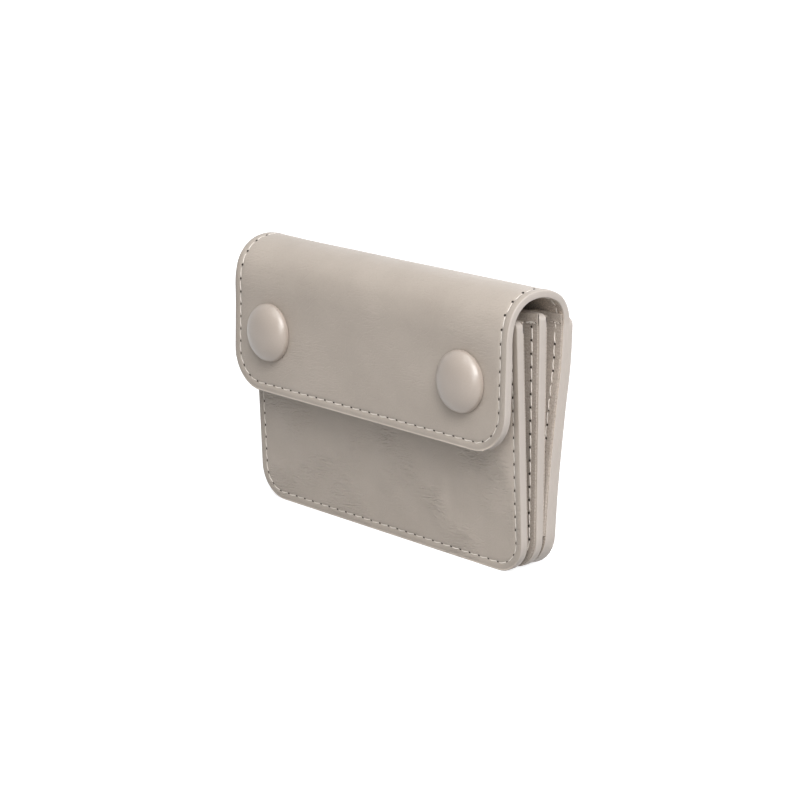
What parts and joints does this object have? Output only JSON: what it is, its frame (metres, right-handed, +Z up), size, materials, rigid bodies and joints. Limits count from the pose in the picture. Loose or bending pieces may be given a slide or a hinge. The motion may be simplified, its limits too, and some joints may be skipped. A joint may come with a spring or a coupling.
{
  "type": "coupon organizer wallet",
  "caption": "Small upright leather wallet with folded-gusset compartments under a rolled-over front flap that closes with covered snap buttons.",
  "frame": {"origin": "middle of the base, on the surface that the wallet stands on", "axes": "+X along the width, -Y towards the front with the snap buttons, +Z up"},
  "size_m": [0.1136, 0.0312, 0.0789],
  "materials": {
    "face_leather": "smooth satin",
    "lining_leather": "matt",
    "gusset_leather": "matt",
    "button_leather": "smooth satin",
    "edge_paint": "painted edge",
    "thread": "waxed thread",
    "snap_steel": "satin nickel"
  },
  "bodies": {
    "back": {"back_leather": "face_leather", "back_lining": "lining_leather", "back_slip_pocket": "face_leather", "rear_gusset_left": "gusset_leather", "rear_gusset_right": "gusset_leather"},
    "roll_rear": {"roll_rear_leather": "face_leather", "roll_rear_lining": "lining_leather"},
    "roll_front": {"roll_front_leather": "face_leather", "roll_front_lining": "lining_leather"},
    "flap": {"flap_leather": "face_leather", "flap_lining": "lining_leather", "button_cover_left": "button_leather", "button_cover_right": "button_leather", "button_shell_left": "snap_steel", "button_shell_right": "snap_steel", "socket_left": "snap_steel", "socket_right": "snap_steel", "spring_ring_left": "snap_steel", "spring_ring_right": "snap_steel"},
    "divider": {"divider_front_leather": "face_leather", "divider_rear_leather": "face_leather", "front_gusset": "gusset_leather"},
    "front": {"front_leather": "face_leather", "front_lining": "lining_leather", "stud_left": "snap_steel", "stud_right": "snap_steel", "eyelet_left": "snap_steel", "eyelet_right": "snap_steel"}
  },
  "joints": [
    {"name": "roll_rear_bend", "type": "hinge", "parent": "back", "child": "roll_rear", "pos_m": [0, 0.0121, 0.07268], "axis": [-1, 0, 0], "range_deg": [0, 60]},
    {"name": "roll_front_bend", "type": "hinge", "parent": "roll_rear", "child": "roll_front", "pos_m": [0, 0.00169, 0.07764], "axis": [-1, 0, 0], "range_deg": [0, 60]},
    {"name": "flap_bend", "type": "hinge", "parent": "roll_front", "child": "flap", "pos_m": [0, -0.00743, 0.07297], "axis": [-1, 0, 0], "range_deg": [0, 60]},
    {"name": "divider_fan", "type": "hinge", "parent": "back", "child": "divider", "pos_m": [0, -0.00259, 0], "axis": [1, 0, 0], "range_deg": [0, 6], "deforming": ["rear_gusset_left", "rear_gusset_right"]},
    {"name": "front_fan", "type": "hinge", "parent": "divider", "child": "front", "pos_m": [0, -0.00259, 0], "axis": [1, 0, 0], "range_deg": [0, 6], "deforming": ["front_gusset"]}
  ],
  "couplings": [
    {"joint": "roll_front_bend", "follows": "roll_rear_bend", "ratio": 1},
    {"joint": "flap_bend", "follows": "roll_rear_bend", "ratio": 1},
    {"joint": "divider_fan", "follows": "roll_rear_bend", "ratio": 0.1},
    {"joint": "front_fan", "follows": "roll_rear_bend", "ratio": 0.1}
  ]
}
